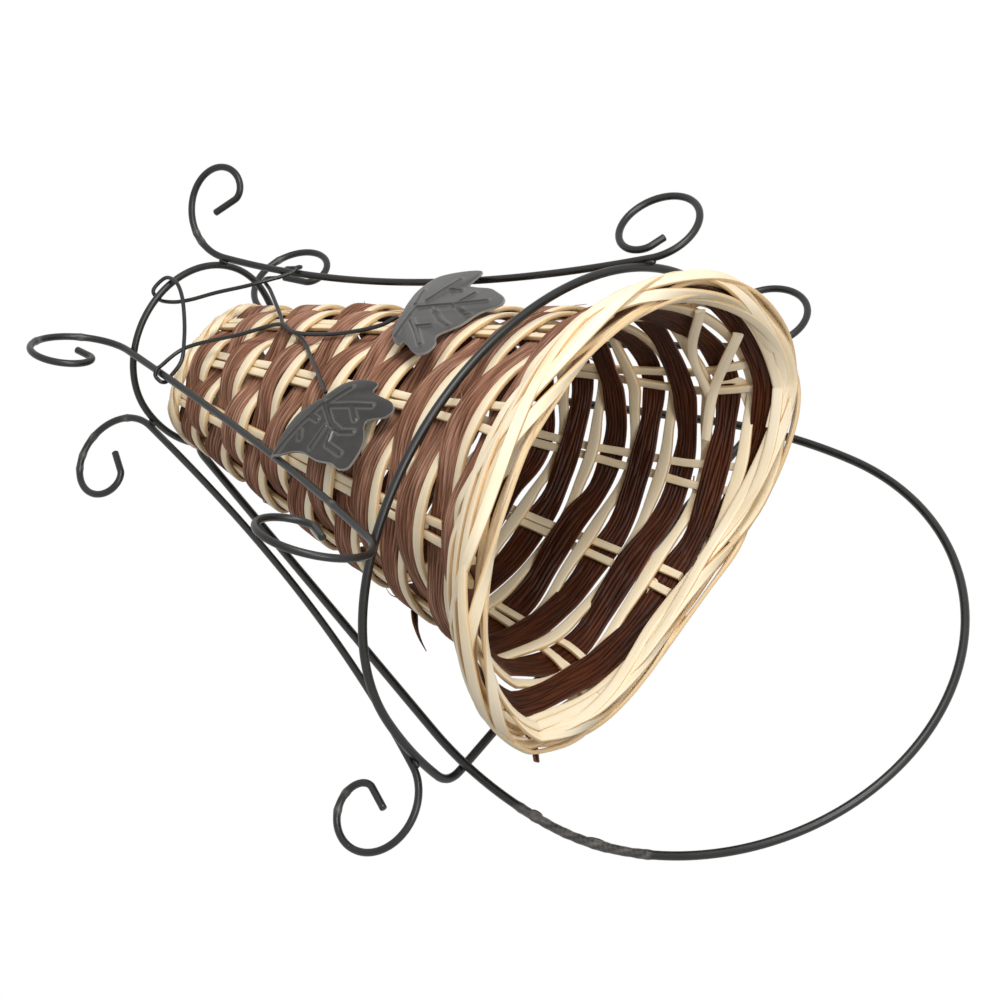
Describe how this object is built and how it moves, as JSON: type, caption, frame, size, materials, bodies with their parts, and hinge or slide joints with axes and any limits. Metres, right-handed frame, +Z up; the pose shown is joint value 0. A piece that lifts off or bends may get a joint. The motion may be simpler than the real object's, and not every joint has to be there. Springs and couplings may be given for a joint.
{
  "type": "wall hanging flower basket",
  "caption": "Cone basket woven from brown bands and cream reed, standing loose in a scrolled black wire frame with leaves that hangs on one wall hook by its back loop.",
  "frame": {"origin": "underside of the arch of the back loop at mid-width, where the hook or nail sits", "axes": "+Z up as it hangs, +Y towards the wall, +X to the right as seen from the room"},
  "size_m": [0.3007, 0.1602, 0.4058],
  "materials": {
    "wire": "black satin paint",
    "leaf": "black satin paint on pressed sheet",
    "brown": "matt twisted fibre cords",
    "cream": "smooth split reed"
  },
  "bodies": {
    "frame": {"back_loop": "wire", "mouth_ring": "wire", "foot_ring": "wire", "rib_right_front": "wire", "rib_left_front": "wire", "rib_right_rear": "wire", "rib_left_rear": "wire", "vine_wire": "wire", "leaf_left": "leaf", "leaf_right": "leaf"},
    "basket": {"stake_01": "cream", "stake_02": "cream", "stake_03": "cream", "stake_04": "cream", "stake_05": "cream", "stake_06": "cream", "stake_07": "cream", "stake_08": "cream", "stake_09": "cream", "brown_weaver_01": "brown", "brown_weaver_02": "brown", "brown_weaver_03": "brown", "brown_weaver_04": "brown", "brown_weaver_05": "brown", "brown_weaver_06": "brown", "brown_weaver_07": "brown", "brown_weaver_08": "brown", "brown_weaver_09": "brown", "brown_weaver_10": "brown", "brown_weaver_11": "brown", "brown_weaver_12": "brown", "brown_weaver_13": "brown", "brown_weaver_14": "brown", "cream_weaver_01": "cream", "cream_weaver_02": "cream", "cream_weaver_03": "cream", "cream_weaver_04": "cream", "cream_weaver_05": "cream", "cream_weaver_06": "cream", "cream_weaver_07": "cream", "cream_weaver_08": "cream", "cream_weaver_09": "cream", "cream_weaver_10": "cream", "cream_weaver_11": "cream", "cream_weaver_12": "cream", "cream_weaver_13": "cream", "cream_weaver_14": "cream", "border_strand_01": "cream", "border_strand_02": "cream", "border_strand_03": "cream", "border_strand_04": "cream", "border_strand_05": "cream", "border_strand_06": "cream", "border_strand_07": "cream", "border_strand_08": "cream", "border_strand_09": "cream", "inner_border": "cream", "foot_border": "cream", "base_panel": "cream"}
  },
  "joints": [
    {"name": "basket_lift", "type": "slide", "parent": "frame", "child": "basket", "axis": [0, -0.1736, 0.9848], "range_m": [0, 0.3]}
  ]
}
